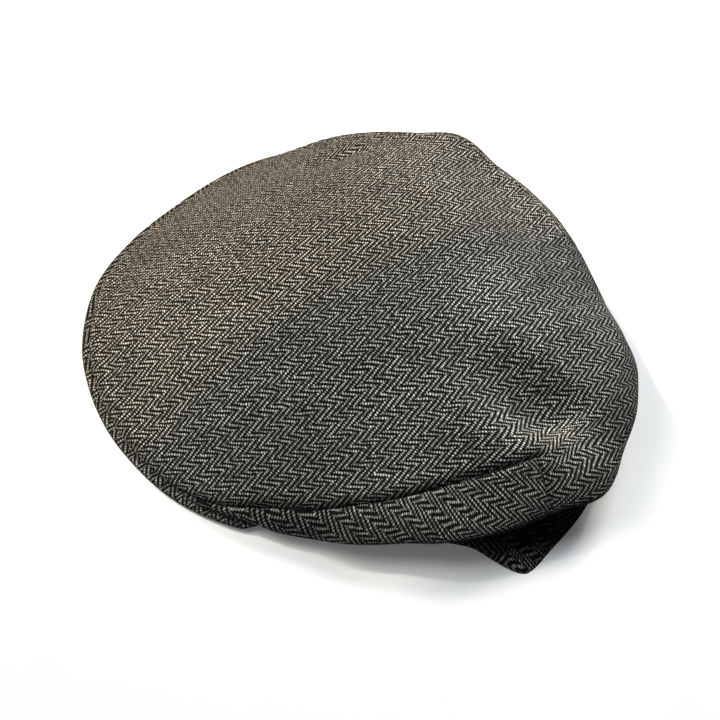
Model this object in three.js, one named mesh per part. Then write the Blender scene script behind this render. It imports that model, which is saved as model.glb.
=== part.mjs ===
// Flat cap: one-piece crown, two side bands and a stiff peak.
// Millimetres, +Z up. -X is the front (peak), +X the back, -Y the wearer's left.
// The origin is the middle of the footprint, on the surface the cap rests on.
import * as THREE from 'three';

// ---- driving sizes ----
const clothThickness = 1.8;      // crown and side bands
const peakThickness = 3.2;       // covered peak board
const pieceGap = 0.6;            // left between neighbouring pieces
const crownTop = 77;             // highest line of the crown
const crownTopX = 42;            // where that line is, back of the middle
const crownFallAlong = 0.0022;   // parabola along the cap
const crownFallAcross = 0.0034;  // parabola across the cap
const peakFlange = 2.6;          // peak edge left showing outside the crown
const peakRise = 12;             // inner edge of the peak above its front edge
const openingFrontX = -72;       // front of the head opening
const openingHalfWidth = 92;     // half width of the opening at the temples
const openingMiddleX = -14;      // centre of the front arc of the opening
const bandLevel = 0.40;          // crown-to-band join on the back, as a share of the side
const seamStart = [122, 238];    // angles where the side bands taper out
const peakEnds = [101, 258.5];   // angles where the peak stops
const endSeam = [36, 325];       // angles of the short upright seams
const seamLean = 9;              // degrees that the left one leans from its foot to its head
const centreX = -0.19;           // footprint middle in the working axes
const centreY = 3.56;

// ---- section table, one row for each angle about the vertical axis ----
// rim = lower edge, tuck = how far the wall runs in under the bulge,
// bulge = widest line, seam = crown-to-band join
const sectionColumns = ['angle', 'rimR', 'rimZ', 'tuck', 'bulgeR', 'bulgeZ', 'seamR', 'seamZ'];
const sectionRows = [
  [0, 122, 0, 10, 130.2, 31, 121.5, 49],
  [10, 116, 0, 9, 122.6, 30, 114.5, 48],
  [20, 108.5, 0, 9, 114.4, 30, 106.3, 47],
  [36, 103.5, 0, 9, 110.4, 31, 102, 48],
  [54, 98.5, 1, 8, 108.8, 32, 101.3, 47],
  [66, 94, 2, 8, 107.4, 35, 101, 48],
  [79, 92.5, 4, 8, 113, 36, 106, 49],
  [91, 93, 6, 6, 109.2, 34, 102.5, 45],
  [101, 101, 8, 3, 111.5, 27, 106, 38],
  [108, 109, 9.5, 0.6, 114.6, 21, 110.5, 31],
  [115, 115.5, 9, 0.1, 117.8, 15, 115, 22],
  [122, 120.2, 7.6, 0.1, 120.6, 9.4, 120, 11],
  [132, 122.4, 5.6, 0.1, 122.4, 5.8, 122.3, 6.2],
  [150, 123.4, 3.8, 0.1, 123.4, 4, 123.3, 4.3],
  [165, 126, 6, 0.1, 126, 6.2, 125.9, 6.5],
  [180, 128.8, 8.4, 0.1, 128.8, 8.6, 128.7, 8.9],
  [193, 127.8, 7.4, 0.1, 127.8, 7.6, 127.7, 7.9],
  [203, 124.6, 5.6, 0.1, 124.6, 5.8, 124.5, 6.1],
  [214, 120, 3.9, 0.1, 120, 4.1, 119.9, 4.4],
  [224, 115.4, 3.8, 0.1, 115.4, 4, 115.3, 4.5],
  [238, 110.2, 4.6, 0.1, 110.3, 5.6, 110, 8],
  [248, 106.0, 5.6, 0.1, 106.8, 9, 106, 13],
  [257, 102.2, 6.6, 0.1, 103.6, 11, 101.5, 19],
  [264, 97, 6.2, 1.5, 103, 11, 99, 23],
  [272, 92, 5, 5, 102.5, 11.5, 97.4, 26],
  [283, 92, 5, 7, 106.77, 18, 96, 33],
  [295, 97, 5, 9, 110.3, 23, 97, 39],
  [303, 103, 4.5, 10.5, 115.7, 26, 98.5, 43],
  [311, 111, 2.2, 14, 121.2, 30, 101, 46],
  [319, 134.5, 0, 18, 125.6, 31, 106, 50],
  [326, 131.6, 0, 20, 130.2, 31.5, 111, 52],
  [336, 129.4, 0, 20, 139.6, 31.5, 118, 52],
  [346, 126, 0, 15, 135.2, 31, 121.5, 51],
];

// ---- folds of the soft crown, one row for each ----
const foldColumns = ['x', 'y', 'heading', 'length', 'width', 'height'];
const foldRows = [
  [95, -41, -14, 40, 15, -11],   // dent above the left end seam
  [84, -16, -10, 34, 9, 1.5],    // low swell on its far side
  [8, 8, 42, 62, 20, -2.6],      // shallow valley running across the crown
  [-27, 83, 20, 12, 6, -3.2],    // short dent by the right temple
  [62, 60, -50, 34, 12, -2.5],   // slack near the right back corner
  [40, -70, 14, 40, 11, 1.6],    // roll above the left seam
];

// ---- helpers ----
const rad = Math.PI / 180;
const asRow = (columns, row) => Object.fromEntries(columns.map((name, i) => [name, row[i]]));
const sections = sectionRows.map((row) => asRow(sectionColumns, row));
const folds = foldRows.map((row) => asRow(foldColumns, row));
const wrap = (a) => ((a % 360) + 360) % 360;
const clamp = (v, lo, hi) => Math.min(hi, Math.max(lo, v));
const smooth = (v) => v * v * (3 - 2 * v);

function hermite(p0, p1, m0, m1, t) {
  const t2 = t * t;
  const t3 = t2 * t;
  return (2 * t3 - 3 * t2 + 1) * p0 + (t3 - 2 * t2 + t) * m0
    + (3 * t2 - 2 * t3) * p1 + (t3 - t2) * m1;
}

// periodic cubic through the section table
function sectionAt(angleDeg, name) {
  const a = wrap(angleDeg);
  const n = sections.length;
  let i = n - 1;
  while (i > 0 && sections[i].angle > a) i -= 1;
  const at = (k) => sections[(k + n) % n][name];
  const angleOf = (k) => sections[(k + n) % n].angle + 360 * Math.floor(k / n);
  const span = angleOf(i + 1) - angleOf(i);
  const slope = (k) => {
    const left = (at(k) - at(k - 1)) / (angleOf(k) - angleOf(k - 1));
    const right = (at(k + 1) - at(k)) / (angleOf(k + 1) - angleOf(k));
    if (left * right <= 0) return 0;
    return 2 * left * right / (left + right);
  };
  return hermite(at(i), at(i + 1), slope(i) * span, slope(i + 1) * span, (a - angleOf(i)) / span);
}

function foldHeight(x, y) {
  let h = 0;
  for (const f of folds) {
    const c = Math.cos(f.heading * rad);
    const s = Math.sin(f.heading * rad);
    const along = ((x - f.x) * c + (y - f.y) * s) / f.length;
    const over = (-(x - f.x) * s + (y - f.y) * c) / f.width;
    h += f.height * Math.exp(-along * along - over * over);
  }
  return h;
}

function domeHeight(x, y) {
  return crownTop - crownFallAlong * (x - crownTopX) ** 2 - crownFallAcross * y * y;
}

// crown surface: share 1 at the seam, 0 at the middle
function crownPoint(angle, share) {
  const seamR = sectionAt(angle, 'seamR');
  const seamZ = sectionAt(angle, 'seamZ');
  const c = Math.cos(angle * rad);
  const s = Math.sin(angle * rad);
  const x = seamR * share * c;
  const y = seamR * share * s;
  const edgeError = seamZ - domeHeight(seamR * c, seamR * s);
  const fade = 1 - smooth(clamp((share - 0.83) / 0.17, 0, 1));
  const z = domeHeight(x, y) + edgeError * share ** 3 + foldHeight(x, y) * fade;
  return new THREE.Vector3(x, y, z);
}

// side surface: level 0 at the rim, 1 at the seam
const sideLevels = [0, 0.3, 0.62, 1];
function sidePoint(angle, level) {
  const rimR = sectionAt(angle, 'rimR');
  const rimZ = sectionAt(angle, 'rimZ');
  const bulgeR = sectionAt(angle, 'bulgeR');
  const bulgeZ = sectionAt(angle, 'bulgeZ');
  const seamR = sectionAt(angle, 'seamR');
  const seamZ = sectionAt(angle, 'seamZ');
  const tuck = sectionAt(angle, 'tuck');
  const inner = crownPoint(angle, 0.93);
  const innerR = Math.hypot(inner.x, inner.y);
  const tuckR = tuck < 1 ? (rimR + bulgeR) / 2 : bulgeR - tuck;
  const r = [rimR, tuckR, bulgeR, seamR, innerR];
  const z = [rimZ, rimZ + 0.7 * (bulgeZ - rimZ), bulgeZ, seamZ, inner.z];
  const u = [...sideLevels, 1.3];
  let i = 2;
  while (i > 0 && sideLevels[i] > level) i -= 1;
  const slope = (v, k) => {
    if (k === 0) return (v[1] - v[0]) / (u[1] - u[0]);
    return (v[k + 1] - v[k - 1]) / (u[k + 1] - u[k - 1]);
  };
  const span = u[i + 1] - u[i];
  const t = (level - u[i]) / span;
  const rr = hermite(r[i], r[i + 1], slope(r, i) * span, slope(r, i + 1) * span, t);
  const zz = hermite(z[i], z[i + 1], slope(z, i) * span, slope(z, i + 1) * span, t);
  return new THREE.Vector3(rr * Math.cos(angle * rad), rr * Math.sin(angle * rad), zz);
}

// columns near the left upright seam lean with it, without changing the surface
function leaned(angle, v) {
  const near = smooth(clamp(1 - Math.abs(wrap(angle) - endSeam[1]) / 14, 0, 1));
  const fade = smooth(clamp(1 - (v - 1) / 0.3, 0, 1));
  return angle + seamLean * near * fade * (clamp(v, bandLevel, 1) - 0.66);
}

// one parameter for the whole outside: 0 rim .. 1 seam .. 2 middle of the crown
function outside(angle, v) {
  const a = leaned(angle, v);
  return v <= 1 ? sidePoint(a, v) : crownPoint(a, 2 - v);
}

function sideLength(angle) {
  let length = 0;
  for (let k = 0; k < 4; k += 1) {
    length += sidePoint(angle, (k + 1) / 4).distanceTo(sidePoint(angle, k / 4));
  }
  return length;
}

function rawNormal(angle, v, low, high) {
  const da = 0.25;
  const side = outside(angle + da, v).sub(outside(angle - da, v));
  const up = outside(angle, high).sub(outside(angle, low));
  return side.cross(up).normalize();
}

// both sides of a seam share one normal, so the pieces keep apart inside
function outsideNormal(angle, v) {
  if (v > 1.995) return new THREE.Vector3(0, 0, 1);
  if (v === 0 || (v === 1 && sideLength(angle) < 3)) {
    return new THREE.Vector3(Math.cos(angle * rad), Math.sin(angle * rad), 0);
  }
  if (Math.abs(v - 1) < 0.05) {
    const below = rawNormal(angle, 0.97, 0.955, 0.985);
    const above = rawNormal(angle, 1.03, 1.02, 1.04);
    return below.add(above).normalize();
  }
  return rawNormal(angle, v, Math.max(v - 0.01, 0), v + 0.01);
}

// ---- peak outline and top surface, which the crown and bands sit on ----
function peakRadii(angle) {
  const c = Math.cos(angle * rad);
  const s = Math.sin(angle * rad);
  const outer = sectionAt(angle, 'rimR') + peakFlange;
  // inner edge: the front arc of the head opening
  const a = openingMiddleX - openingFrontX;
  const b = openingHalfWidth;
  const A = (c / a) ** 2 + (s / b) ** 2;
  const B = -2 * c * openingMiddleX / (a * a);
  const C = (openingMiddleX / a) ** 2 - 1;
  const ellipseR = (-B + Math.sqrt(B * B - 4 * A * C)) / (2 * A);
  return { outer, inner: Math.min(ellipseR, outer - 7) };
}

function peakTop(angle, r) {
  const { outer, inner } = peakRadii(angle);
  const share = clamp((outer - r) / (outer - inner), 0, 1);
  const depth = clamp((outer - inner) / 58, 0, 1);
  return sectionAt(angle, 'rimZ') - pieceGap + peakRise * depth * share ** 1.6;
}

// lowest height the inside of the cloth may reach
function floorUnder(angle, r) {
  const a = wrap(angle);
  const rim = sectionAt(a, 'rimZ');
  if (a < peakEnds[0] - 1 || a > peakEnds[1] + 1) return rim;
  return r < peakRadii(a).inner ? 0 : Math.max(rim, peakTop(a, r) + pieceGap);
}

// ---- closed sheet from a grid of cells ----
// columns: angles; rows: levels; used(i, j): is the cell kept; ring: columns close up
function sheet(columns, rows, used, ring, pointAt, normalAt, thickness) {
  const nc = columns.length;
  const nr = rows.length;
  const outer = new Map();
  const positions = [];
  const faces = [];
  const pole = rows[nr - 1] >= 2;
  const vertex = (i, j) => {
    const col = ring ? i % nc : i;
    const key = pole && j === nr - 1 ? 'pole' : `${col},${j}`;
    if (!outer.has(key)) {
      const p = pointAt(columns[col], rows[j]);
      const n = normalAt(columns[col], rows[j]);
      const q = p.clone().addScaledVector(n, -thickness);
      q.z = Math.max(q.z, floorUnder(columns[col], Math.hypot(q.x, q.y)));
      outer.set(key, positions.length / 3);
      positions.push(p.x, p.y, p.z, q.x, q.y, q.z);
    }
    return outer.get(key);
  };
  const triangle = (a, b, c) => {
    if (a === b || b === c || a === c) return;
    faces.push([a, b, c]);
  };
  const cellColumns = ring ? nc : nc - 1;
  for (let i = 0; i < cellColumns; i += 1) {
    for (let j = 0; j < nr - 1; j += 1) {
      if (!used(i, j)) continue;
      const a = vertex(i, j);
      const b = vertex(i + 1, j);
      const c = vertex(i + 1, j + 1);
      const d = vertex(i, j + 1);
      triangle(a, b, c);
      triangle(a, c, d);
    }
  }
  // edges used once are the border: close them from outside to inside
  const count = new Map();
  for (const [a, b, c] of faces) {
    for (const [p, q] of [[a, b], [b, c], [c, a]]) {
      count.set(`${p},${q}`, [p, q]);
    }
  }
  const index = [];
  for (const [a, b, c] of faces) {
    index.push(a, b, c);
    index.push(a + 1, c + 1, b + 1);
  }
  for (const [p, q] of count.values()) {
    if (count.has(`${q},${p}`)) continue;
    index.push(q, p, p + 1);
    index.push(q, p + 1, q + 1);
  }
  const geometry = new THREE.BufferGeometry();
  geometry.setAttribute('position', new THREE.Float32BufferAttribute(positions, 3));
  geometry.setIndex(index);
  geometry.translate(-centreX, -centreY, 0);
  geometry.computeVertexNormals();
  return geometry;
}

function spread(from, to, count) {
  return Array.from({ length: count + 1 }, (_, k) => from + (to - from) * k / count);
}

// ---- crown: the whole top, with the back lobe reaching down over the band ----
function crownGeometry() {
  const halfGap = (pieceGap / 2) / 110;
  const angleGap = halfGap / rad;
  const left = endSeam[1] + angleGap;
  const right = endSeam[0] - angleGap;
  const columns = [
    ...spread(0, right, 8),
    ...spread(right, seamStart[0], 20).slice(1),
    ...spread(seamStart[0], seamStart[1], 22).slice(1),
    ...spread(seamStart[1], left, 24).slice(1),
    ...spread(left, 360, 10).slice(1, -1),
  ];
  const rows = [
    ...spread(bandLevel, 1, 4),
    1.035,
    1.09,
    1.17,
    1.26,
    1.36,
    1.47,
    1.59,
    1.72,
    1.86,
    2,
  ];
  const lobeRows = 4;
  const used = (i, j) => {
    if (j >= lobeRows) return true;
    const a = columns[i];
    return a < right - 1e-6 || a >= left - 1e-6;
  };
  const clear = (angle, v) => {
    if (v === bandLevel) return v + (pieceGap / 2) / sideLength(angle);
    return v === 1 ? 1 + halfGap : v;
  };
  const pointAt = (angle, v) => outside(angle, clear(angle, v));
  const normalAt = (angle, v) => outsideNormal(angle, v);
  return sheet(columns, rows, used, true, pointAt, normalAt, clothThickness);
}

// ---- side bands: taper out forward, run low across the back ----
function bandGeometry(side) {
  const halfGap = (pieceGap / 2) / 110;
  const angleGap = halfGap / rad;
  let columns;
  if (side === 'left') {
    columns = [
      ...spread(seamStart[1] + 1.5, endSeam[1] - angleGap, 26),
      ...spread(endSeam[1] - angleGap, 360 - angleGap, 10).slice(1),
    ];
  } else {
    columns = [
      ...spread(angleGap, endSeam[0] + angleGap, 8),
      ...spread(endSeam[0] + angleGap, seamStart[0] - 1.5, 22).slice(1),
    ];
  }
  const rows = [...spread(0, bandLevel, 3), ...spread(bandLevel, 1, 4).slice(1)];
  const used = (i, j) => {
    if (j < 3) return true;
    if (side === 'left') return columns[i + 1] <= endSeam[1];
    return columns[i] >= endSeam[0];
  };
  const clear = (angle, v) => {
    if (v !== bandLevel && v !== 1) return v;
    return v - (pieceGap / 2) / sideLength(angle);
  };
  const pointAt = (angle, v) => outside(angle, clear(angle, v));
  return sheet(columns, rows, used, false, pointAt, outsideNormal, clothThickness);
}

// ---- peak: a crescent board under the front of the crown ----
function peakGeometry() {
  const columns = spread(peakEnds[0], peakEnds[1], 44);
  const rows = [0, 0.04, 0.2, 0.4, 0.6, 0.8, 1];
  const positions = [];
  const index = [];
  const nr = rows.length;
  for (const angle of columns) {
    const { outer, inner } = peakRadii(angle);
    for (const share of rows) {
      const r = outer + (inner - outer) * share;
      const x = r * Math.cos(angle * rad);
      const y = r * Math.sin(angle * rad);
      const z = peakTop(angle, r);
      const lift = share === 0 ? 1.0 : 0;
      positions.push(x, y, z - lift, x, y, z - peakThickness + lift);
    }
  }
  const at = (i, j) => 2 * (i * nr + j);
  const quad = (a, b, c, d) => index.push(a, b, c, a, c, d);
  for (let i = 0; i < columns.length - 1; i += 1) {
    for (let j = 0; j < nr - 1; j += 1) {
      quad(at(i, j), at(i + 1, j), at(i + 1, j + 1), at(i, j + 1));
      quad(at(i, j) + 1, at(i, j + 1) + 1, at(i + 1, j + 1) + 1, at(i + 1, j) + 1);
    }
    quad(at(i, 0) + 1, at(i + 1, 0) + 1, at(i + 1, 0), at(i, 0));
    quad(at(i, nr - 1), at(i + 1, nr - 1), at(i + 1, nr - 1) + 1, at(i, nr - 1) + 1);
  }
  for (let j = 0; j < nr - 1; j += 1) {
    const e = columns.length - 1;
    quad(at(0, j), at(0, j + 1), at(0, j + 1) + 1, at(0, j) + 1);
    quad(at(e, j + 1), at(e, j), at(e, j) + 1, at(e, j + 1) + 1);
  }
  const geometry = new THREE.BufferGeometry();
  geometry.setAttribute('position', new THREE.Float32BufferAttribute(positions, 3));
  geometry.setIndex(index);
  geometry.translate(-centreX, -centreY, 0);
  geometry.computeVertexNormals();
  return geometry;
}

// ---- the named pieces ----
function piece(name, geometry, color) {
  const material = new THREE.MeshStandardMaterial({ color, roughness: 0.95, metalness: 0 });
  material.name = `${name}_cloth`;
  const mesh = new THREE.Mesh(geometry, material);
  mesh.name = name;
  return mesh;
}

const group = new THREE.Group();
group.name = 'flat_cap';
group.add(piece('crown_top', crownGeometry(), '#7d7a70'));
group.add(piece('side_band_left', bandGeometry('left'), '#75736b'));
group.add(piece('side_band_right', bandGeometry('right'), '#75736b'));
group.add(piece('peak', peakGeometry(), '#6b6962'));

export default group;
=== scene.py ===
"""Flat cap in herringbone wool, lying on its lower edge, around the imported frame.

Shapes are worked out in millimetres in the cap's working axes (polar about a vertical line:
0 degrees is the back, 90 the wearer's right, 180 the front) and become metres in the row frame
when a mesh is made.
"""
import math

import bpy
import numpy as np
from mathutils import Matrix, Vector


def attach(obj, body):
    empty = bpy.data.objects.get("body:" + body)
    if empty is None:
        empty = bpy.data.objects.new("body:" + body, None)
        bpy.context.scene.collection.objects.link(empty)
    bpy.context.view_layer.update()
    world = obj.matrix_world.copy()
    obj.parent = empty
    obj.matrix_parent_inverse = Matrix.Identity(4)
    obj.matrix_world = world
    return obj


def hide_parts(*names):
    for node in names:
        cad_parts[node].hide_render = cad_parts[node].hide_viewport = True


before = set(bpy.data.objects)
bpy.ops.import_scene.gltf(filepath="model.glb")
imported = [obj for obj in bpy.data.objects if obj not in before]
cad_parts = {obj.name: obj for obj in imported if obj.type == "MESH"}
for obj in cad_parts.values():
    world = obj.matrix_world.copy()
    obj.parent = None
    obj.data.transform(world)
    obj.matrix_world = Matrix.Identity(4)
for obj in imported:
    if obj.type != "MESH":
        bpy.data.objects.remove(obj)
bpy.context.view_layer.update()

MM = 0.001
DEG = math.pi / 180.0

# ---- the cap's driving sizes, as in the CAD source ----
CLOTH = 1.8                    # wall of the crown and bands
PEAK_THICK = 3.2               # covered peak board
PIECE_GAP = 0.6
CROWN_TOP = 77.0
CROWN_TOP_X = 42.0
FALL_ALONG = 0.0022
FALL_ACROSS = 0.0034
PEAK_FLANGE = 2.6
PEAK_RISE = 12.0
OPENING_FRONT_X = -72.0
OPENING_HALF_WIDTH = 92.0
OPENING_MIDDLE_X = -14.0
BAND_LEVEL = 0.40
SEAM_START = (122.0, 238.0)
PEAK_ENDS = (101.0, 258.5)
END_SEAM = (36.0, 325.0)
SEAM_LEAN = 9.0                # degrees that the left end seam leans for one level up
CENTRE = np.array([-0.19, 3.56, 0.0])

SECTION_COLUMNS = ("angle", "rim_r", "rim_z", "tuck", "bulge_r", "bulge_z", "seam_r", "seam_z")
SECTIONS = np.array([
    (0, 122, 0, 10, 130.2, 31, 121.5, 49),
    (10, 116, 0, 9, 122.6, 30, 114.5, 48),
    (20, 108.5, 0, 9, 114.4, 30, 106.3, 47),
    (36, 103.5, 0, 9, 110.4, 31, 102, 48),
    (54, 98.5, 1, 8, 108.8, 32, 101.3, 47),
    (66, 94, 2, 8, 107.4, 35, 101, 48),
    (79, 92.5, 4, 8, 113, 36, 106, 49),
    (91, 93, 6, 6, 109.2, 34, 102.5, 45),
    (101, 101, 8, 3, 111.5, 27, 106, 38),
    (108, 109, 9.5, 0.6, 114.6, 21, 110.5, 31),
    (115, 115.5, 9, 0.1, 117.8, 15, 115, 22),
    (122, 120.2, 7.6, 0.1, 120.6, 9.4, 120, 11),
    (132, 122.4, 5.6, 0.1, 122.4, 5.8, 122.3, 6.2),
    (150, 123.4, 3.8, 0.1, 123.4, 4, 123.3, 4.3),
    (165, 126, 6, 0.1, 126, 6.2, 125.9, 6.5),
    (180, 128.8, 8.4, 0.1, 128.8, 8.6, 128.7, 8.9),
    (193, 127.8, 7.4, 0.1, 127.8, 7.6, 127.7, 7.9),
    (203, 124.6, 5.6, 0.1, 124.6, 5.8, 124.5, 6.1),
    (214, 120, 3.9, 0.1, 120, 4.1, 119.9, 4.4),
    (224, 115.4, 3.8, 0.1, 115.4, 4, 115.3, 4.5),
    (238, 110.2, 4.6, 0.1, 110.3, 5.6, 110, 8),
    (248, 106.0, 5.6, 0.1, 106.8, 9, 106, 13),
    (257, 102.2, 6.6, 0.1, 103.6, 11, 101.5, 19),
    (264, 97, 6.2, 1.5, 103, 11, 99, 23),
    (272, 92, 5, 5, 102.5, 11.5, 97.4, 26),
    (283, 92, 5, 7, 106.77, 18, 96, 33),
    (295, 97, 5, 9, 110.3, 23, 97, 39),
    (303, 103, 4.5, 10.5, 115.7, 26, 98.5, 43),
    (311, 111, 2.2, 14, 121.2, 30, 101, 46),
    (319, 134.5, 0, 18, 125.6, 31, 106, 50),
    (326, 131.6, 0, 20, 130.2, 31.5, 111, 52),
    (336, 129.4, 0, 20, 139.6, 31.5, 118, 52),
    (346, 126, 0, 15, 135.2, 31, 121.5, 51),
], float)
SIDE_LEVELS = (0.0, 0.3, 0.62, 1.0)       # where the rim, tuck, bulge and seam are
TUCK_HEIGHT = 0.7              # the tuck's share of the way up from the rim to the bulge
NO_TUCK = 1.0                  # with a smaller tuck the side runs straight up to the bulge
AIM_SHARE = 0.93               # the place on the crown that the side heads for at the seam
AIM_LEVEL = 1.3                # the level at which it would get there
FOLD_FADE = (0.83, 0.17)       # the share where the folds start to fade, and over how much
LEAN_REACH = 14.0              # degrees to each side over which the lean fades
LEAN_FADE = 0.3                # how far above the seam it fades
LEAN_MIDDLE = 0.66             # the level that stays where it is
PEAK_LEAST = 7.0               # least width of the peak board
PEAK_FULL = 58.0               # width at which it rises by PEAK_RISE
PEAK_CURVE = 1.6               # power of that rise across the board
LOBE_EASE = 4                  # degrees over which the crown seam starts beside the lobe

# Folds of the soft crown: x, y, heading, length, width, height. They are the CAD's own, with
# the dent over the left end seam 0.5 mm deeper and the one by the right temple 1 mm deeper.
FOLDS = [
    (95, -41, -14, 40, 15, -11.5),
    (84, -16, -10, 34, 9, 1.5),
    (8, 8, 42, 62, 20, -2.6),
    (-27, 83, 20, 12, 6, -4.2),
    (62, 60, -50, 34, 12, -2.5),
    (40, -70, 14, 40, 11, 1.6),
]
# Slack in the cloth, which only shows: wavelength, heading, phase, height.
SLACK = [
    (46, 25, 0.4, 0.28),
    (31, 95, 1.9, 0.20),
    (23, 148, 4.1, 0.13),
    (67, 60, 2.6, 0.30),
]

# ---- the cloth ----
STRIPE_ENDS = 7.0              # threads across one herringbone stripe
END_PITCH = 0.556              # between threads across a stripe
PICK_PITCH = 1.08              # between threads along a stripe
GRAIN = 34.0                   # crown stripes, degrees from straight back at the middle
TURN = 0.0020                  # how much more they turn for each millimetre toward the back
EASE_IN = 4e-6                 # picks lie closest at the middle and open toward front and back
PICK_CROWD = (1.14, 1.1)       # how much closer the picks lie, going along x and along y
PICK_BOW = 0.0003              # how much the picks open toward the back, for each millimetre
STRIPE_SHEAR = 0.0006          # how much the stripes widen toward the back, for each millimetre
BAND_GRAIN = -32.0             # band stripes, degrees from the band's length
BAND_MIDDLE = 0.96             # the band's middle line, as a share of the bulge's radius
PEAK_GRAIN = 75.0              # peak stripes, degrees from straight back

# ---- what only shows: sewn edges, puckers and swells, in millimetres ----
# Each edge that turns under has a radius and a depth.
CROWN_EDGE = (3.2, 1.4)        # crown, along its seam
CROWN_EDGE_MORE = 1.2          # added to both where the side strip is tall
LOBE_LOW_EDGE = (2.6, 1.1)     # crown lobe, along its foot
LOBE_END_EDGE = (3.0, 1.6)     # crown lobe, at the end seams
BAND_EDGE = (4.2, 2.1)         # band, along the crown seam
BAND_END_EDGE = (2.8, 1.4)     # band, at the end seams
BAND_LOW_EDGE = (1.5, 0.5)     # band, along the top of its low part
CROWN_INSIDE_FOLLOWS = 0.6     # share of a turned edge that the crown's inside follows
BAND_INSIDE_FOLLOWS = 0.5      # and the band's
# Each swell beside a seam has a height, a distance from the seam and a width.
SEAM_RIDGE = (0.9, 4.6, 3.0)   # beside the crown seam
END_RIDGE = (0.45, 3.4, 2.0)   # beside the left end seam
PUCKERS = (5.0, 0.22)          # reach and height along the crown seam
PUCKER_WAVE = 5.2              # from one pucker to the next
SLACK_FADE = 14.0              # the crown's slack fades over this distance from its seam
BAND_SLACK = 0.6               # the band's slack, as a share of the crown's
BAND_SLACK_FADE = 9.0          # and it fades over this distance from the band's edges
# The last of the big dent, over the lobe's edge: depth, angle, width, level, height.
EDGE_DENT = (3.2, 341, 6.0, 0.98, 0.25)
SHORT_SIDE = 2.0               # a side strip lower than this counts as none
HEM_BOW = 0.35                 # how far a turned hem stands out, as a share of the wall
HEM_ROWS = 3                   # rows of points round a hem
SEAM_GAP = 0.15 / 110          # a piece's half of the gap at a seam, as a share of the radius
ROW_GAP = 0.3                  # what a piece leaves free along the band's edges
MEAN_RADIUS = 105              # turns angles into millimetres round the cap
TAPER = 3.5                    # degrees over which each end of the peak closes down
TAPER_THIN = 0.45              # the peak's thickness at its ends, as a share
TAPER_BACK = 2.2               # how far its edge draws back there


# ---------------------------------------------------------------- shape
def hermite(p0, p1, m0, m1, t):
    t2, t3 = t * t, t * t * t
    return ((2 * t3 - 3 * t2 + 1) * p0 + (t3 - 2 * t2 + t) * m0
            + (3 * t2 - 2 * t3) * p1 + (t3 - t2) * m1)


def section(name, angle):
    """Periodic cubic through one column of the section table; angle in degrees, an array."""
    values = SECTIONS[:, SECTION_COLUMNS.index(name)]
    knots = SECTIONS[:, 0]
    count = len(knots)
    step = np.diff(np.append(knots, knots[0] + 360))
    right = (np.roll(values, -1) - values) / step
    left = np.roll(right, 1)
    same = left * right > 0
    slope = np.where(same, 2 * left * right / np.where(same, left + right, 1), 0)
    a = np.mod(angle, 360.0)
    i = np.clip(np.searchsorted(knots, a, side="right") - 1, 0, count - 1)
    k = (i + 1) % count
    t = (a - knots[i]) / step[i]
    return hermite(values[i], values[k], slope[i] * step[i], slope[k] * step[i], t)


def ramp(v):
    """0 up to 0, 1 from 1, and a smooth rise between."""
    v = np.clip(v, 0, 1)
    return v * v * (3 - 2 * v)


def direction(angle):
    """Unit vectors, level and outward."""
    return np.stack([np.cos(angle * DEG), np.sin(angle * DEG), np.zeros_like(angle)], -1)


def unit(v):
    return v / np.maximum(np.linalg.norm(v, axis=-1, keepdims=True), 1e-12)


def fold_height(x, y):
    h = np.zeros_like(x)
    for fx, fy, heading, length, width, height in FOLDS:
        c, s = math.cos(heading * DEG), math.sin(heading * DEG)
        along = ((x - fx) * c + (y - fy) * s) / length
        over = (-(x - fx) * s + (y - fy) * c) / width
        h = h + height * np.exp(-along * along - over * over)
    return h


def slack_height(x, y):
    h = np.zeros_like(x)
    for wavelength, heading, phase, height in SLACK:
        c, s = math.cos(heading * DEG), math.sin(heading * DEG)
        bow = 0.25 * np.sin((-x * s + y * c) * 2 * math.pi / (2.7 * wavelength) + phase)
        h = h + height * np.sin((x * c + y * s) * 2 * math.pi / wavelength + phase + 4 * bow)
    return h


def dome(x, y):
    return CROWN_TOP - FALL_ALONG * (x - CROWN_TOP_X) ** 2 - FALL_ACROSS * y * y


def crown_point(angle, share):
    """Crown surface: share 1 at the seam, 0 at the middle."""
    seam_r, seam_z = section("seam_r", angle), section("seam_z", angle)
    c, s = np.cos(angle * DEG), np.sin(angle * DEG)
    x, y = seam_r * share * c, seam_r * share * s
    edge_error = seam_z - dome(seam_r * c, seam_r * s)
    fade = 1 - ramp((share - FOLD_FADE[0]) / FOLD_FADE[1])
    z = dome(x, y) + edge_error * share ** 3 + fold_height(x, y) * fade
    return np.stack([x, y, z], -1)


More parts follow.
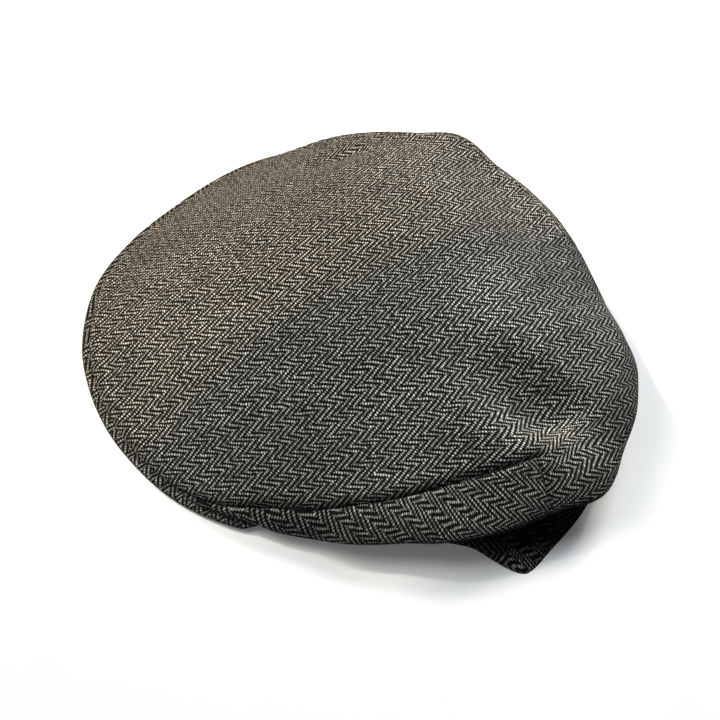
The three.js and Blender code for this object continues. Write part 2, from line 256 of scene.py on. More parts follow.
def side_point(angle, level):
    """Side surface: level 0 at the rim, 1 at the seam."""
    rim_r, rim_z = section("rim_r", angle), section("rim_z", angle)
    bulge_r, bulge_z = section("bulge_r", angle), section("bulge_z", angle)
    seam_r, seam_z = section("seam_r", angle), section("seam_z", angle)
    tuck = section("tuck", angle)
    aim_at = crown_point(angle, np.full_like(angle, AIM_SHARE))
    tuck_r = np.where(tuck < NO_TUCK, (rim_r + bulge_r) / 2, bulge_r - tuck)
    r = [rim_r, tuck_r, bulge_r, seam_r, np.hypot(aim_at[..., 0], aim_at[..., 1])]
    z = [rim_z, rim_z + TUCK_HEIGHT * (bulge_z - rim_z), bulge_z, seam_z, aim_at[..., 2]]
    u = list(SIDE_LEVELS) + [AIM_LEVEL]

    def curve(v):
        slope = [(v[1] - v[0]) / (u[1] - u[0])]
        slope += [(v[k + 1] - v[k - 1]) / (u[k + 1] - u[k - 1]) for k in (1, 2, 3)]
        out = np.zeros_like(angle)
        for k in range(3):
            span = u[k + 1] - u[k]
            part = hermite(v[k], v[k + 1], slope[k] * span, slope[k + 1] * span,
                           (level - u[k]) / span)
            out = np.where((level >= u[k]) & ((level <= u[k + 1]) | (k == 2)), part, out)
        return out

    rr, zz = curve(r), curve(z)
    return np.stack([rr * np.cos(angle * DEG), rr * np.sin(angle * DEG), zz], -1)


def leaned(angle, v):
    """Columns near the left end seam lean with it, without changing the surface."""
    near = ramp(1 - np.abs(np.mod(angle, 360) - END_SEAM[1]) / LEAN_REACH)
    fade = ramp(1 - (v - 1) / LEAN_FADE)
    return angle + SEAM_LEAN * near * fade * (np.clip(v, BAND_LEVEL, 1) - LEAN_MIDDLE)


def outside(angle, v):
    """One parameter up the whole outside: 0 rim, 1 seam, 2 middle of the crown."""
    angle = leaned(angle, v)
    side = side_point(angle, np.minimum(v, 1.0))
    top = crown_point(angle, np.clip(2 - v, 0, 1))
    return np.where((v <= 1)[..., None], side, top)


def side_length(angle):
    """Height of the side, measured along its surface."""
    steps = [side_point(angle, np.full_like(angle, k / 4)) for k in range(5)]
    return sum(np.linalg.norm(b - a, axis=-1) for a, b in zip(steps, steps[1:]))


def side_tall(angle, reach):
    """0 where there is no side strip, easing to 1 where it is reach millimetres taller."""
    return ramp((side_length(angle) - SHORT_SIDE) / reach)


def raw_normal(angle, v, low, high):
    """From a short step round the cap at v and a short step up it from low to high."""
    turn = 0.25
    across = outside(angle + turn, v) - outside(angle - turn, v)
    up = outside(angle, high) - outside(angle, low)
    return unit(np.cross(across, up))


def outside_normal(angle, v):
    """Both sides of a seam share one normal, which eases into each side's own."""
    def at(*levels):
        return raw_normal(angle, *(np.full_like(v, level) for level in levels))

    below, above = at(0.97, 0.955, 0.985), at(1.03, 1.02, 1.04)
    short = (1 - side_tall(angle, 6))[..., None]
    shared = unit((below + above) * (1 - short) + 2 * direction(angle) * short)
    step, reach = 0.01, 0.06
    side = raw_normal(angle, np.minimum(v, 0.98), np.clip(v - step, 0, 0.97),
                      np.minimum(v + step, 0.985))
    top = raw_normal(angle, v, np.maximum(v - step, 1.0), np.minimum(v + step, 1.995))
    own = np.where((v < 1)[..., None], side, top)
    ease = ramp(np.abs(v - 1) / reach)[..., None]
    normal = unit(shared * (1 - ease) + own * ease)
    rim = (1 - ramp(v / reach))[..., None]
    normal = unit(normal * (1 - rim) + direction(angle) * rim)
    pole = ramp((v - 1.97) / 0.03)[..., None]
    return unit(normal * (1 - pole) + np.array([0, 0, 1.0]) * pole)


def peak_radii(angle):
    """The peak's outer edge, and its inner edge on the ellipse of the head opening."""
    c, s = np.cos(angle * DEG), np.sin(angle * DEG)
    outer = section("rim_r", angle) + PEAK_FLANGE
    a, b = OPENING_MIDDLE_X - OPENING_FRONT_X, OPENING_HALF_WIDTH
    qa = (c / a) ** 2 + (s / b) ** 2
    qb = -2 * c * OPENING_MIDDLE_X / (a * a)
    qc = (OPENING_MIDDLE_X / a) ** 2 - 1
    ellipse_r = (-qb + np.sqrt(qb * qb - 4 * qa * qc)) / (2 * qa)
    return outer, np.minimum(ellipse_r, outer - PEAK_LEAST)


def peak_top(angle, r):
    """Height of the peak's upper face, which rises toward its inner edge."""
    outer, inner = peak_radii(angle)
    share = np.clip((outer - r) / (outer - inner), 0, 1)
    depth = np.clip((outer - inner) / PEAK_FULL, 0, 1)
    return section("rim_z", angle) - PIECE_GAP + PEAK_RISE * depth * share ** PEAK_CURVE


def floor_under(angle, r):
    """Lowest height the inside of the cloth may reach."""
    a = np.mod(angle, 360)
    rim = section("rim_z", a)
    over_peak = (a >= PEAK_ENDS[0] - 1) & (a <= PEAK_ENDS[1] + 1)
    inside = r < peak_radii(a)[1]
    on_peak = np.maximum(rim, peak_top(a, r) + PIECE_GAP)
    return np.where(over_peak, np.where(inside, 0.0, on_peak), rim)


# ---------------------------------------------------------------- meshes
def new_object(name, points, faces, cloth, materials, inner_from=None):
    """points in millimetres in working axes; cloth gives each point's place in the cloth.

    Faces from inner_from on take the second material.
    """
    mesh = bpy.data.meshes.new(name)
    mesh.from_pydata(((points - CENTRE) * MM).tolist(), [], faces)
    place = mesh.attributes.new("cloth", "FLOAT_VECTOR", "POINT")
    place.data.foreach_set("vector", np.asarray(cloth, np.float32).reshape(-1))
    mesh.polygons.foreach_set("use_smooth", [True] * len(mesh.polygons))
    for material in materials:
        mesh.materials.append(material)
    if inner_from is not None:
        slots = np.zeros(len(faces), np.int32)
        slots[inner_from:] = 1
        mesh.polygons.foreach_set("material_index", slots)
    mesh.validate()
    mesh.update()
    obj = bpy.data.objects.new(name, mesh)
    bpy.context.scene.collection.objects.link(obj)
    return obj


def shell(name, angles, levels, used, surface, cloth_at, materials, ring=False, pole=False):
    """A closed wall over the cells of a grid that used(i, j) keeps.

    surface gives the outer and inner points, and cloth_at their place in the flat cloth. With
    ring the last column joins the first, and with pole the last row is one point.
    """
    grid_a, grid_v = np.meshgrid(angles, levels, indexing="ij")
    outer, inner = surface(grid_a, grid_v)
    cloth = cloth_at(grid_a, grid_v)
    nc, nr = grid_a.shape
    number = np.full((nc, nr), -1, int)
    columns = nc if ring else nc - 1
    keep_cell = np.array([[used(i, j) for j in range(nr - 1)] for i in range(columns)])
    quads = []
    for i, j in zip(*np.nonzero(keep_cell)):
        k = (i + 1) % nc
        quads.append(((i, j), (k, j), (k, j + 1), (i, j + 1)))
    points, places = [], []
    for quad in quads:
        for i, j in quad:
            if number[i, j] < 0:
                if pole and j == nr - 1 and number[0, j] >= 0:
                    number[i, j] = number[0, j]
                    continue
                number[i, j] = len(points)
                if pole and j == nr - 1:
                    number[:, j] = len(points)
                points.append(outer[i, j])
                places.append(cloth[i, j])
    count = len(points)
    back = np.zeros((count, 3))
    for i, j in zip(*np.nonzero(number >= 0)):
        back[number[i, j]] = inner[i, j]
    front_faces, edges = [], {}
    for quad in quads:
        face = []
        for i, j in quad:
            n = int(number[i, j])
            if n not in face:
                face.append(n)
        front_faces.append(face)
        for a, b in zip(face, face[1:] + face[:1]):
            edges[(a, b)] = True
    # the hem: a rounded turn from the outer to the inner face
    border = [(a, b) for (a, b) in edges if (b, a) not in edges]
    points = np.array(points)
    places = np.array(places)
    nearby = {}
    for quad_face in front_faces:
        centre = points[quad_face].mean(0)
        for n in quad_face:
            nearby.setdefault(n, []).append(centre)
    border_nodes = sorted({n for edge in border for n in edge})
    place_of = {n: k for k, n in enumerate(border_nodes)}
    out_way = np.array([points[n] - np.mean(nearby[n], axis=0) for n in border_nodes])
    wall = back[border_nodes] - points[border_nodes]
    wall_unit = unit(wall)
    out_way = unit(out_way - wall_unit * np.sum(out_way * wall_unit, -1, keepdims=True))
    all_points = [points, back]
    all_places = [places, places]
    turn_rows = []
    wall_long = np.linalg.norm(wall, axis=-1, keepdims=True)
    for k in range(1, HEM_ROWS + 1):
        t = k / (HEM_ROWS + 1)
        bow = math.sin(t * math.pi) * HEM_BOW
        ring_points = points[border_nodes] + wall * t + out_way * wall_long * bow
        ring_points[:, 2] = np.maximum(ring_points[:, 2], 0.0)
        turn_rows.append(sum(len(p) for p in all_points))
        all_points.append(ring_points)
        shift = np.zeros_like(places[border_nodes])
        shift[:, 0] = wall_long[:, 0] * t
        all_places.append(places[border_nodes] + shift)
    back_faces = [[n + count for n in reversed(face)] for face in front_faces]
    rows = ([lambda n: n] + [lambda n, s=s: s + place_of[n] for s in turn_rows]
            + [lambda n: n + count])
    hem_faces = []
    for a, b in border:
        for low, high in zip(rows, rows[1:]):
            hem_faces.append([low(b), low(a), high(a), high(b)])
    faces = front_faces + hem_faces + back_faces
    inner_from = len(front_faces) + len(hem_faces)
    return new_object(name, np.vstack(all_points), faces, np.vstack(all_places), materials,
                      inner_from)


def spread(start, stop, count):
    """From start to stop in even steps."""
    return list(np.linspace(start, stop, count + 1))


def crowded(start, stop, count, power=2.0):
    """From start to stop, with the steps closest together at start."""
    t = np.linspace(0, 1, count + 1) ** power
    return list(start + (stop - start) * t)


def seam_distance(angle, v):
    """Millimetres along the surface from the crown seam, about."""
    above = (v - 1) * section("seam_r", angle)
    below = (1 - v) * side_length(angle)
    return np.where(v >= 1, above, below)


def roll(distance, radius, depth):
    """How far an edge sinks as it turns under: depth at the edge, 0 past the radius."""
    t = np.clip(1 - distance / radius, 0, 1)
    return depth * (1 - np.sqrt(np.clip(1 - t * t, 0, 1)))


def puckers(angle, distance, reach, height):
    """Small waves along a seam, uneven in length and height."""
    along = angle * DEG * MEAN_RADIUS
    wave = np.sin(along * 2 * math.pi / PUCKER_WAVE + 1.3 * np.sin(along / 17.0))
    wave = wave * (0.7 + 0.5 * np.sin(along / 11.0 + 0.8))
    return height * wave * np.exp(-(distance / reach) ** 2)


def ridge(distance, height, centre, width):
    """A swell that runs beside a seam, at centre millimetres from it."""
    return height * np.exp(-((distance - centre) / width) ** 2)


def in_lobe(angle):
    """1 where the crown's back lobe has no seam at v = 1, easing to 0 past the end seams."""
    a = np.mod(angle, 360)
    before = ramp((END_SEAM[0] - a) / LOBE_EASE) * (a < 180)
    after = ramp((a - END_SEAM[1]) / LOBE_EASE) * (a >= 180)
    return before + after


def over_floor(angle, points):
    """Keep the inside of the cloth above the rim and the peak."""
    radius = np.hypot(points[..., 0], points[..., 1])
    points[..., 2] = np.maximum(points[..., 2], floor_under(angle, radius))


def crown_surface(angle, v):
    """The crown's outer and inner points: slack, puckers and swells, less the turned edges."""
    base = outside(angle, v)
    normal = outside_normal(angle, v)
    sewn = 1 - in_lobe(angle)
    distance = seam_distance(angle, v)
    slack = slack_height(base[..., 0], base[..., 1]) * ramp(distance / SLACK_FADE)
    relief = slack + puckers(angle, distance, *PUCKERS) * sewn
    above_seam = ramp((v - 1) * 40)
    relief = relief + ridge(distance, *SEAM_RIDGE) * sewn * above_seam
    above_foot = (v - BAND_LEVEL) * side_length(angle)
    a = np.mod(angle, 360)
    dent, centre, width, level, height = EDGE_DENT
    relief = relief - dent * np.exp(-((a - centre) / width) ** 2 - ((v - level) / height) ** 2)
    radius, depth = CROWN_EDGE
    more = CROWN_EDGE_MORE * side_tall(angle, 8)
    under = roll(distance, radius + more, depth + more) * sewn
    sink = under + np.where(v < 1, roll(above_foot, *LOBE_LOW_EDGE), 0)
    to_end = np.where(a < 180, END_SEAM[0] - a, a - END_SEAM[1]) * DEG * MEAN_RADIUS
    below_seam = ramp((1.01 - v) / 0.04)
    turned = roll(np.maximum(to_end, 0), *LOBE_END_EDGE) * below_seam
    below_at_left = ramp((1 - v) * 12) * (a > 180)
    relief = relief + ridge(to_end, *END_RIDGE) * below_at_left
    sink = np.where(v < 1.0, np.maximum(sink, turned), sink)
    outer = base + normal * (relief - sink)[..., None]
    inner = base + normal * (relief - CROWN_INSIDE_FOLLOWS * under - CLOTH)[..., None]
    over_floor(angle, inner)
    return outer, inner


def band_surface(angle, v):
    """A side band's outer and inner points: some slack, less the turned edges."""
    base = outside(angle, v)
    normal = outside_normal(angle, v)
    distance = seam_distance(angle, v)
    a = np.mod(angle, 360)
    low = (a < END_SEAM[0]) | (a > END_SEAM[1])
    slack = slack_height(base[..., 0] * 0.8, base[..., 2] * 1.2 + base[..., 1]) * BAND_SLACK
    length = side_length(angle)
    ease = ramp(np.minimum(v, 1 - v) * length / BAND_SLACK_FADE)
    shallower = np.clip(length / 12, 0.45, 1)      # where the band is not yet tall
    sink = np.where(low, 0, roll(distance, *BAND_EDGE) * shallower)
    to_end = np.where(a < 180, a - END_SEAM[0], END_SEAM[1] - a) * DEG * MEAN_RADIUS
    above_low = ramp((v - BAND_LEVEL - 0.02) / 0.05)
    at_end = roll(np.maximum(to_end, 0), *BAND_END_EDGE) * above_low
    sink = np.maximum(sink, np.where(low, 0, at_end))
    under_top = np.maximum((BAND_LEVEL - v) * length, 0)
    sink = sink + np.where(low, roll(under_top, *BAND_LOW_EDGE), 0)
    outer = base + normal * (slack * ease - sink)[..., None]
    inner = base + normal * (slack * ease - BAND_INSIDE_FOLLOWS * sink - CLOTH)[..., None]
    over_floor(angle, inner)
    outer[..., 2] = np.maximum(outer[..., 2], 0)
    return outer, inner


# ---- where each point lies in the flat cloth ----
ARC_ANGLES = np.arange(0, 360, 1.0)
ARC_SHARES = np.linspace(0, 1, 81)


def arc_table():
    """Length along the surface from the crown's middle, for each angle and share."""
    a, s = np.meshgrid(ARC_ANGLES, ARC_SHARES, indexing="ij")
    step = np.linalg.norm(np.diff(crown_point(a, s), axis=1), axis=2)
    arc = np.concatenate([np.zeros((len(ARC_ANGLES), 1)), np.cumsum(step, 1)], 1)
    return np.vstack([arc, arc[:1]])


ARC = arc_table()


def arc_at(angle, share):
    a = np.mod(angle, 360)
    i = np.floor(a).astype(int)
    fa = a - i
    s = np.clip(share, 0, 1) * (len(ARC_SHARES) - 1)
    j = np.minimum(np.floor(s).astype(int), len(ARC_SHARES) - 2)
    fs = s - j
    low = ARC[i, j] * (1 - fs) + ARC[i, j + 1] * fs
    high = ARC[i + 1, j] * (1 - fs) + ARC[i + 1, j + 1] * fs
    return low * (1 - fa) + high * fa


def crown_cloth(angle, v):
    """x runs along the stripes, y across them."""
    arc = arc_at(angle, 2 - np.maximum(v, 1))
    arc = arc + np.where(v < 1, (1 - v) * side_length(angle), 0)
    x, y = arc * np.cos(angle * DEG), arc * np.sin(angle * DEG)
    c, s = math.cos(GRAIN * DEG), math.sin(GRAIN * DEG)
    along = (x * (PICK_CROWD[0] * c) + y * (PICK_CROWD[1] * s) + TURN * x * y
             - EASE_IN * x ** 3 - PICK_BOW * x * x)
    across = -x * s + y * c - 0.5 * TURN * x * x - STRIPE_SHEAR * x * y
    return np.stack([along, across, np.zeros_like(x)], -1)


def band_cloth(angle, v):
    """The band is cut straight, so its cloth follows its length and its height."""
    start = SEAM_START[0] if np.mean(np.mod(angle, 360)) < 180 else SEAM_START[1]
    mid = section("bulge_r", angle) * BAND_MIDDLE
    along = (np.mod(angle - 1e-6, 360) - start) * DEG * mid
    down = (1 - v) * side_length(angle)
    turn = BAND_GRAIN if start == SEAM_START[1] else -BAND_GRAIN
    c, s = math.cos(turn * DEG), math.sin(turn * DEG)
    return np.stack([along * c - down * s, along * s + down * c, np.zeros_like(along)], -1)


# ---------------------------------------------------------------- materials
class Nodes:
    """A short way to write a node tree."""

    def __init__(self, name):
        self.material = bpy.data.materials.new(name)
        self.material.use_nodes = True
        self.tree = self.material.node_tree
        self.tree.nodes.clear()

    def add(self, kind, **settings):
        node = self.tree.nodes.new(kind)
        for key, value in settings.items():
            setattr(node, key, value)
        return node

    def feed(self, socket, value):
        if isinstance(value, bpy.types.NodeSocket):
            self.tree.links.new(value, socket)
        else:
            socket.default_value = value

    def math(self, operation, a, b=0.0):
        node = self.add("ShaderNodeMath", operation=operation)
        for socket, value in zip(node.inputs, (a, b)):
            self.feed(socket, value)
        return node.outputs[0]

    def mix(self, factor, a, b, blend="MIX"):
        """A mix of two colours, or with MULTIPLY one colour darkened by another."""
        node = self.add("ShaderNodeMix", data_type="RGBA", blend_type=blend)
        for socket, value in zip((node.inputs["Factor"], *node.inputs[6:8]), (factor, a, b)):
            self.feed(socket, value)
        return node.outputs[2]

    def vector(self, x, y, z=0.0):
        node = self.add("ShaderNodeCombineXYZ")
        for socket, value in zip(node.inputs, (x, y, z)):
            self.feed(socket, value)
        return node.outputs[0]

    def noise(self, place, scale, detail=2.0, roughness=0.5, offset=0.0):
        if offset:
            shift = self.add("ShaderNodeVectorMath", operation="ADD")
            self.feed(shift.inputs[0], place)
            shift.inputs[1].default_value = (offset, offset, offset)
            place = shift.outputs[0]
        node = self.add("ShaderNodeTexNoise")
        self.feed(node.inputs["Vector"], place)
        node.inputs["Scale"].default_value = scale
        node.inputs["Detail"].default_value = detail
        node.inputs["Roughness"].default_value = roughness
        return node.outputs["Fac"]

    def remap(self, value, low, high):
        """0 to 1 becomes low to high."""
        node = self.add("ShaderNodeMapRange")
        self.feed(node.inputs["Value"], value)
        node.inputs["To Min"].default_value = low
        node.inputs["To Max"].default_value = high
        return node.outputs["Result"]


LIGHT_YARN = (0.80, 0.78, 0.715, 1)
DARK_YARN = (0.0035, 0.0034, 0.0036, 1)
# The peak's pale yarn is a darker copy of the crown's: painted shade on the peak, which is the
# same cloth.
PEAK_SHADED_PALE_YARN = (0.56, 0.545, 0.50, 1)
INSIDE_YARNS = ((0.13, 0.125, 0.115, 1), (0.006, 0.006, 0.006, 1))
REPEAT = 4.0                   # threads in the twill's repeat: two up and two down
FLOOR_PALE = (0.95, 0.95, 0.95, 1)
FLOOR_PALEST = (0.98, 0.98, 0.98, 1)


def herringbone(name, light=LIGHT_YARN, dark=DARK_YARN, bump=0.6):
    """Two-up two-down twill that turns back every few threads: pale picks over dark ends."""
    n = Nodes(name)
    place = n.add("ShaderNodeAttribute", attribute_name="cloth").outputs["Vector"]
    split = n.add("ShaderNodeSeparateXYZ")
    n.feed(split.inputs[0], place)

    # threads that aren't quite straight: a slow sway, and a short one each way, in millimetres
    sway = n.noise(place, 0.05, 2.0)
    pick_sway = n.noise(place, 0.35, 1.0)
    end_sway = n.noise(place, 0.36, 1.0, offset=31.0)
    along = n.math("ADD", split.outputs["X"], n.remap(sway, -1.8, 1.8))
    along = n.math("ADD", along, n.remap(pick_sway, -0.45, 0.45))
    across = n.math("ADD", split.outputs["Y"], n.remap(sway, -1.4, 1.4))
    across = n.math("ADD", across, n.remap(end_sway, -0.28, 0.28))

    # the threads' numbers, and which of the two is on top
    end = n.math("DIVIDE", across, END_PITCH)
    pick = n.math("DIVIDE", along, PICK_PITCH)
    end_number = n.math("FLOOR", end)
    pick_number = n.math("FLOOR", pick)
    end_part = n.math("FRACT", end)
    pick_part = n.math("FRACT", pick)
    stripe = n.math("FLOOR", n.math("DIVIDE", n.math("ADD", end_number, 0.5), STRIPE_ENDS))
    parity = n.math("FLOORED_MODULO", stripe, 2.0)
    sign = n.math("SUBTRACT", 1.0, n.math("MULTIPLY", parity, 2.0))
    phase = n.math("ADD", pick_number, n.math("MULTIPLY", sign, end_number))
    turn = n.math("ROUND", n.math("FLOORED_MODULO", phase, REPEAT))
    turn = n.math("FLOORED_MODULO", turn, REPEAT)
    pick_up = n.math("LESS_THAN", turn, 1.5)
    end_up = n.math("SUBTRACT", 1.0, pick_up)
    float_number = n.math("FLOOR", n.math("DIVIDE", n.math("ADD", phase, 0.1), REPEAT))

    # place along the float, 0 to 1, for the pale pick and for the dark end
    order = n.math("ADD", 0.5, n.math("MULTIPLY", sign, n.math("SUBTRACT", turn, 0.5)))
    pick_place = n.math("MULTIPLY", n.math("ADD", order, end_part), 0.5)
    end_place = n.math("MULTIPLY", n.math("ADD", n.math("SUBTRACT", turn, 2.0), pick_part), 0.5)

    def hump(value, power, width=1.0):
        """A rounded rise and fall as value goes from 0 to 1."""
        centred = n.math("ABSOLUTE", n.math("SUBTRACT", n.math("MULTIPLY", value, 2.0), 1.0))
        centred = n.math("DIVIDE", centred, width)
        return n.math("MAXIMUM", n.math("SUBTRACT", 1.0, n.math("POWER", centred, power)), 0.0)

    pick_hump = n.math("MULTIPLY", hump(pick_part, 2.0, 0.82), hump(pick_place, 2.5, 0.95))
    end_hump = n.math("SQRT", n.math("MULTIPLY", hump(end_part, 2.0), hump(end_place, 2.0)))

    # every float has its own strength; slubs, loose hairs and a little wear go over it
    chance = n.add("ShaderNodeTexWhiteNoise", noise_dimensions="3D")
    n.feed(chance.inputs["Vector"], n.vector(pick_number, float_number, stripe))
    slub_place = n.vector(n.math("MULTIPLY", pick_number, 3.7), n.math("MULTIPLY", across, 0.3))
    slub = n.noise(slub_place, 1.0, 2.0)
    hairs = n.noise(place, 2.6, 2.0, 0.6)
    wear = n.noise(place, 0.035, 3.0, 0.6)
    strength = n.remap(chance.outputs["Value"], 0.28, 1.0)
    strength = n.math("MULTIPLY", strength, n.remap(slub, 0.3, 1.7))
    strength = n.math("MULTIPLY", strength, n.remap(hairs, 0.55, 1.45))
    strength = n.math("MULTIPLY", strength, n.remap(wear, 0.85, 1.15))
    pale = n.math("MULTIPLY", pick_up, n.math("POWER", pick_hump, 0.6))
    pale = n.math("MULTIPLY", pale, strength)
    dark_float = n.math("MULTIPLY", end_up, end_hump)
    stray = n.math("MULTIPLY", dark_float, n.remap(hairs, -0.10, 0.12))
    amount = n.math("MINIMUM", n.math("MAXIMUM", n.math("ADD", pale, stray), 0.0), 1.0)

    # the floats stand up, and the colour is darkened down between them: painted shade
    high = n.math("ADD", n.math("MULTIPLY", pick_up, n.math("SQRT", pick_hump)),
                  n.math("MULTIPLY", dark_float, 0.6))
    shade = n.math("ADD", n.math("MULTIPLY", high, 0.6), 0.4)
    colour = n.mix(1.0, n.mix(amount, dark, light), shade, "MULTIPLY")

    lift = n.add("ShaderNodeBump")
    lift.inputs["Strength"].default_value = bump
    lift.inputs["Distance"].default_value = 0.0002
    n.feed(lift.inputs["Height"], n.math("ADD", high, n.remap(hairs, -0.2, 0.2)))

    shader = n.add("ShaderNodeBsdfPrincipled")
    n.feed(shader.inputs["Base Color"], colour)
    n.feed(shader.inputs["Normal"], lift.outputs["Normal"])
    n.feed(shader.inputs["Roughness"], n.remap(hairs, 0.86, 1.0))
    shader.inputs["Specular IOR Level"].default_value = 0.06
    shader.inputs["Sheen Weight"].default_value = 0.015
    shader.inputs["Sheen Roughness"].default_value = 0.6
    output = n.add("ShaderNodeOutputMaterial")
    n.feed(output.inputs["Surface"], shader.outputs["BSDF"])
    return n.material


# ---------------------------------------------------------------- pieces
def crown(materials):
    """The dome, and the back lobe below it between the end seams."""
    left, right = END_SEAM[1] + SEAM_GAP / DEG, END_SEAM[0] - SEAM_GAP / DEG
    angles = (spread(0, right, 40) + spread(right, SEAM_START[0], 96)[1:]
              + spread(*SEAM_START, 128)[1:] + spread(SEAM_START[1], left, 104)[1:]
              + spread(left, 360, 40)[1:-1])
    # rows: up the lobe from its foot, over the seam, and on to the middle of the dome
    lobe = (crowded(BAND_LEVEL, 0.47, 5, 1.6) + spread(0.47, 0.94, 14)[1:]
            + crowded(1.0, 0.94, 3, 1.6)[-2::-1])
    lobe_rows = len(lobe) - 1
    levels = (lobe + crowded(1.0, 1.05, 9, 1.5)[1:] + crowded(1.05, 1.98, 54, 1.05)[1:]
              + [2.0])

    def used(i, j):
        a = angles[i]
        return j >= lobe_rows or a < right - 1e-6 or a >= left - 1e-6

    def surface(angle, v):
        seam_gap = np.where(np.abs(v - 1) < 1e-9, SEAM_GAP * (1 - in_lobe(angle)), 0)
        low_gap = np.where(v <= BAND_LEVEL + 1e-9, ROW_GAP / side_length(angle), 0)
        return crown_surface(angle, v + seam_gap + low_gap)

    return shell("crown_cloth_top", angles, levels, used, surface, crown_cloth, materials,
                 ring=True, pole=True)


def band(side, materials):
    """One side band: full height to its end seam, then low across the back."""
    turn = SEAM_GAP / DEG
    start = 1.5                # degrees past the seam's start, where the band is tall enough
    # rows: from the rim to the top of the low part, and on up to the crown seam
    levels = (crowded(0, 0.05, 3, 1.5) + spread(0.05, BAND_LEVEL - 0.03, 12)[1:]
              + crowded(BAND_LEVEL, BAND_LEVEL - 0.03, 3, 1.5)[-2::-1])
    low_rows = len(levels) - 1
    levels += spread(BAND_LEVEL, 0.93, 16)[1:] + crowded(1.0, 0.93, 7, 1.5)[-2::-1]
    if side == "left":
        angles = (spread(SEAM_START[1] + start, END_SEAM[1] - turn, 170)
                  + spread(END_SEAM[1] - turn, 360 - turn, 60)[1:])
        high = [a <= END_SEAM[1] for a in angles[1:]] + [False]
    else:
        angles = (spread(turn, END_SEAM[0] + turn, 60)
                  + spread(END_SEAM[0] + turn, SEAM_START[0] - start, 150)[1:])
        high = [a >= END_SEAM[0] for a in angles]

    def used(i, j):
        return j < low_rows or high[i]

    def surface(angle, v):
        near = (np.abs(v - 1) < 1e-9) | (np.abs(v - BAND_LEVEL) < 1e-9)
        return band_surface(angle, v - np.where(near, ROW_GAP / side_length(angle), 0))

    return shell("side_band_cloth_" + side, angles, levels, used, surface, band_cloth, materials)


def peak(materials):
    """A crescent board wrapped in cloth: one closed section for each angle.

    Each section goes out over the top, round the edge, back underneath and round the inner edge.
    """
    angles = np.array(spread(*PEAK_ENDS, 220))
    outer, inner = peak_radii(angles)
    full = ramp(np.minimum(angles - PEAK_ENDS[0], PEAK_ENDS[1] - angles) / TAPER)
    half = PEAK_THICK / 2 * (TAPER_THIN + (1 - TAPER_THIN) * full)
    rows, cloth = [], []

    def add(radius, height, unrolled):
        c, s = np.cos(angles * DEG), np.sin(angles * DEG)
        rows.append(np.stack([radius * c, radius * s, height], -1))
        cloth.append(np.stack([unrolled * c, unrolled * s], -1))

    edge = outer - half - TAPER_BACK * (1 - full)
    centre_z = peak_top(angles, edge) - half
    for t in np.linspace(1, 0, 17)[:-1]:
        r = edge + (inner - edge) * t
        add(r, peak_top(angles, r), r)
    for k in range(13):
        turn = math.pi * k / 12
        add(edge + half * math.sin(turn), centre_z + half * math.cos(turn),
            edge + half * turn)
    for t in np.linspace(0, 1, 17)[1:]:
        r = edge + (inner - edge) * t
        add(r, peak_top(angles, r) - 2 * half, edge + half * math.pi + (edge - r))
    for k in range(1, 6):
        turn = math.pi * k / 6
        r = inner - half * 0.6 * math.sin(turn)
        add(r, peak_top(angles, inner) - half - half * math.cos(turn), inner - 3 - k)
    points = np.stack(rows, 1)
    flat = np.stack(cloth, 1)
    points[..., 2] = np.maximum(points[..., 2], 0.02)      # just off the floor
    na, ns = points.shape[:2]
    c, s = math.cos(PEAK_GRAIN * DEG), math.sin(PEAK_GRAIN * DEG)
    x, y = flat[..., 0], flat[..., 1]
    place = np.stack([x * c + y * s, -x * s + y * c, np.zeros((na, ns))], -1)
    faces = []
    for i in range(na - 1):
        for j in range(ns):
            k = (j + 1) % ns
            faces.append([i * ns + j, i * ns + k, (i + 1) * ns + k, (i + 1) * ns + j])
    faces.append(list(range(ns))[::-1])
    faces.append([(na - 1) * ns + j for j in range(ns)])
    return new_object("peak_cloth_board", points.reshape(-1, 3), faces, place.reshape(-1, 3),
                      materials)


outer_cloth = herringbone("crown_herringbone")
inner_cloth = herringbone("inside_herringbone", *INSIDE_YARNS, bump=0.4)
band_material = herringbone("band_herringbone")
# the peak's copy of the cloth, its pale yarn darkened: painted shade
peak_material = herringbone("peak_herringbone", light=PEAK_SHADED_PALE_YARN)

made = [
    (crown([outer_cloth, inner_cloth]), "crown_top", "crown_cloth"),
    (band("left", [band_material, inner_cloth]), "side_band_left", "band_cloth"),
    (band("right", [band_material, inner_cloth]), "side_band_right", "band_cloth"),
    (peak([peak_material]), "peak", "peak_cloth"),
]
for piece, node, slot in made:
    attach(piece, "root")
    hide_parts(node)


# ---------------------------------------------------------------- stage
def floor():
    mesh = bpy.data.meshes.new("floor")
    half = 3.0                 # metres from the middle to each side
    corners = [(-half, -half, 0), (half, -half, 0), (half, half, 0), (-half, half, 0)]
    mesh.from_pydata(corners, [], [(0, 1, 2, 3)])
    obj = bpy.data.objects.new("floor", mesh)
    bpy.context.scene.collection.objects.link(obj)
    n = Nodes("floor_paper")
    shader = n.add("ShaderNodeBsdfPrincipled")
    grain = n.noise(n.add("ShaderNodeTexCoord").outputs["Object"], 60.0, 3.0)
    n.feed(shader.inputs["Base Color"], n.mix(grain, FLOOR_PALE, FLOOR_PALEST))
    shader.inputs["Roughness"].default_value = 0.8
    shader.inputs["Emission Color"].default_value = (1.0, 1.0, 1.0, 1)
    shader.inputs["Emission Strength"].default_value = 0.10       # paper lit a little from behind
    output = n.add("ShaderNodeOutputMaterial")
    n.feed(output.inputs["Surface"], shader.outputs["BSDF"])
    mesh.materials.append(n.material)
    obj.visible_diffuse = False        # no bounce, so the underside stays in shade


LIGHT_DISTANCE = 1.4           # metres from the middle of the cap
CAP_MIDDLE = (0, 0, 0.04)
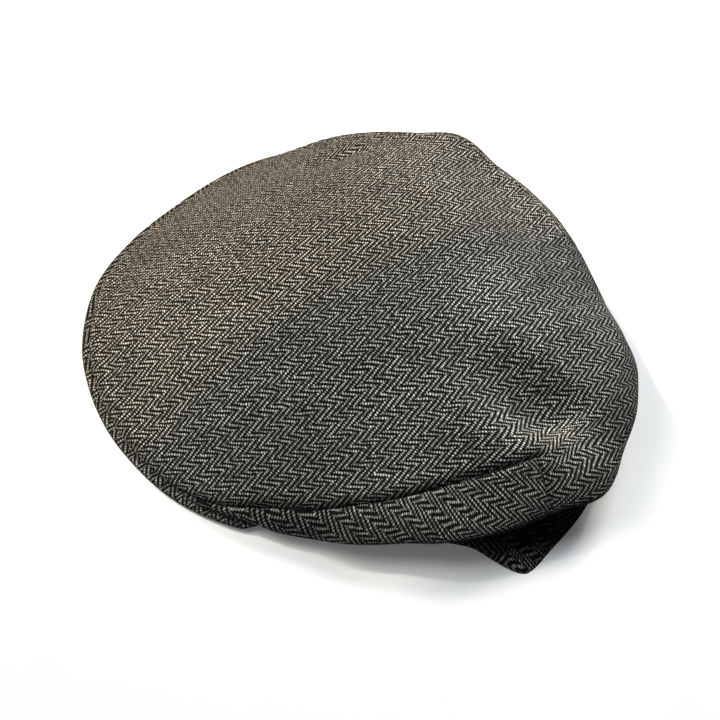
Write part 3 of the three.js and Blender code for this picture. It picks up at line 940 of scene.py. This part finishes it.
# Each light's name, azimuth, elevation, power and colour.
SOFT_BOXES = [
    ("window", 210, 65, 6.6, (1.0, 0.99, 0.84)),
    ("back", 60, 60, 14.6, (0.98, 0.985, 0.94)),
    ("front", 210, 25, 1.9, (0.74, 0.80, 1.0)),
    ("overhead", 0, 89, 2.4, (0.45, 0.60, 1.0)),
]
# Each pool's name, azimuth, elevation, where it lands and its radius there, power, colour, the
# share of it that is a soft edge, and the size of its source. A small source keeps its edge.
POOLS = [
    ("warm_pool", 150, 55, (-0.238, 0.241, 0.055), 0.351, 57, (1.0, 0.72, 0.42), 0.07, 0.010),
    ("front_pool", 180, 60, (-0.075, -0.071, 0.03), 0.070, 64, (1.0, 0.97, 0.86), 0.7, 0.06),
    ("far_back_pool", 150, 50, (0.084, 0.080, 0.062), 0.054, 180, (0.97, 0.98, 1.0), 0.7, 0.06),
    ("back_pool", 60, 50, (0.110, 0.000, 0.055), 0.034, 34, (1.0, 1.0, 0.95), 0.7, 0.02),
    ("near_pool", 120, 80, (0.050, -0.042, 0.06), 0.042, 50, (0.96, 1.0, 0.93), 0.7, 0.06),
    ("ridge_pool", 110, 36, (0.090, -0.057, 0.054), 0.034, 105, (1.0, 0.95, 0.85), 0.8, 0.012),
    ("strip_pool", 120, 84, (0.036, -0.082, 0.03), 0.027, 50, (1.0, 0.95, 0.78), 0.8, 0.02),
    ("corner_pool", 335, 60, (0.112, -0.050, 0.051), 0.015, 62, (1.0, 0.95, 0.85), 0.8, 0.015),
]


def away_to(azimuth, elevation):
    """A place for a light: azimuth in degrees from +X (the cap's back) toward +Y (its right)."""
    a, e = azimuth * DEG, elevation * DEG
    level = math.cos(e)
    return Vector((math.cos(a) * level, math.sin(a) * level, math.sin(e))) * LIGHT_DISTANCE


def aim(name, data, place, target):
    obj = bpy.data.objects.new(name, data)
    obj.location = place
    obj.rotation_euler = (Vector(target) - place).to_track_quat("-Z", "Y").to_euler()
    bpy.context.scene.collection.objects.link(obj)


def soft_box(name, azimuth, elevation, power, colour):
    """A large soft light on the whole cap."""
    data = bpy.data.lights.new(name, "AREA")
    data.size = 0.5
    data.energy = power
    data.color = colour
    aim(name, data, away_to(azimuth, elevation), CAP_MIDDLE)


def pool(name, azimuth, elevation, target, radius, power, colour, blend, source):
    """A round pool of light; target and radius in metres."""
    data = bpy.data.lights.new(name, "SPOT")
    data.energy = power
    data.color = colour
    data.spot_size = 2 * math.atan(radius / LIGHT_DISTANCE)
    data.spot_blend = blend
    data.shadow_soft_size = source
    aim(name, data, away_to(azimuth, elevation), target)


def lights():
    for row in SOFT_BOXES:
        soft_box(*row)
    for row in POOLS:
        pool(*row)
    world = bpy.data.worlds.new("studio")
    world.use_nodes = True
    sky = world.node_tree.nodes["Background"].inputs
    sky["Color"].default_value = (1, 1, 1, 1)
    sky["Strength"].default_value = 0.01
    bpy.context.scene.world = world


LOOK_AT = np.array([5.17, -18.12, 30.0])       # millimetres, in the working axes


def camera():
    """The photo's viewing angle: from the wearer's left, a little behind, high up."""
    azimuth, elevation, distance = -15.0 * DEG, 58.0 * DEG, 1.0
    target = Vector((LOOK_AT - CENTRE) * MM)
    level = math.cos(elevation)
    away = Vector((-math.sin(azimuth) * level, -math.cos(azimuth) * level, math.sin(elevation)))
    data = bpy.data.cameras.new("camera")
    data.lens = 110.0
    data.sensor_width = 36.0
    obj = bpy.data.objects.new("camera", data)
    obj.location = target + away * distance
    obj.rotation_mode = "QUATERNION"
    obj.rotation_quaternion = (-away).to_track_quat("-Z", "Y")
    bpy.context.scene.collection.objects.link(obj)
    bpy.context.scene.camera = obj


floor()
lights()
camera()
bpy.context.scene.view_settings.view_transform = "Standard"
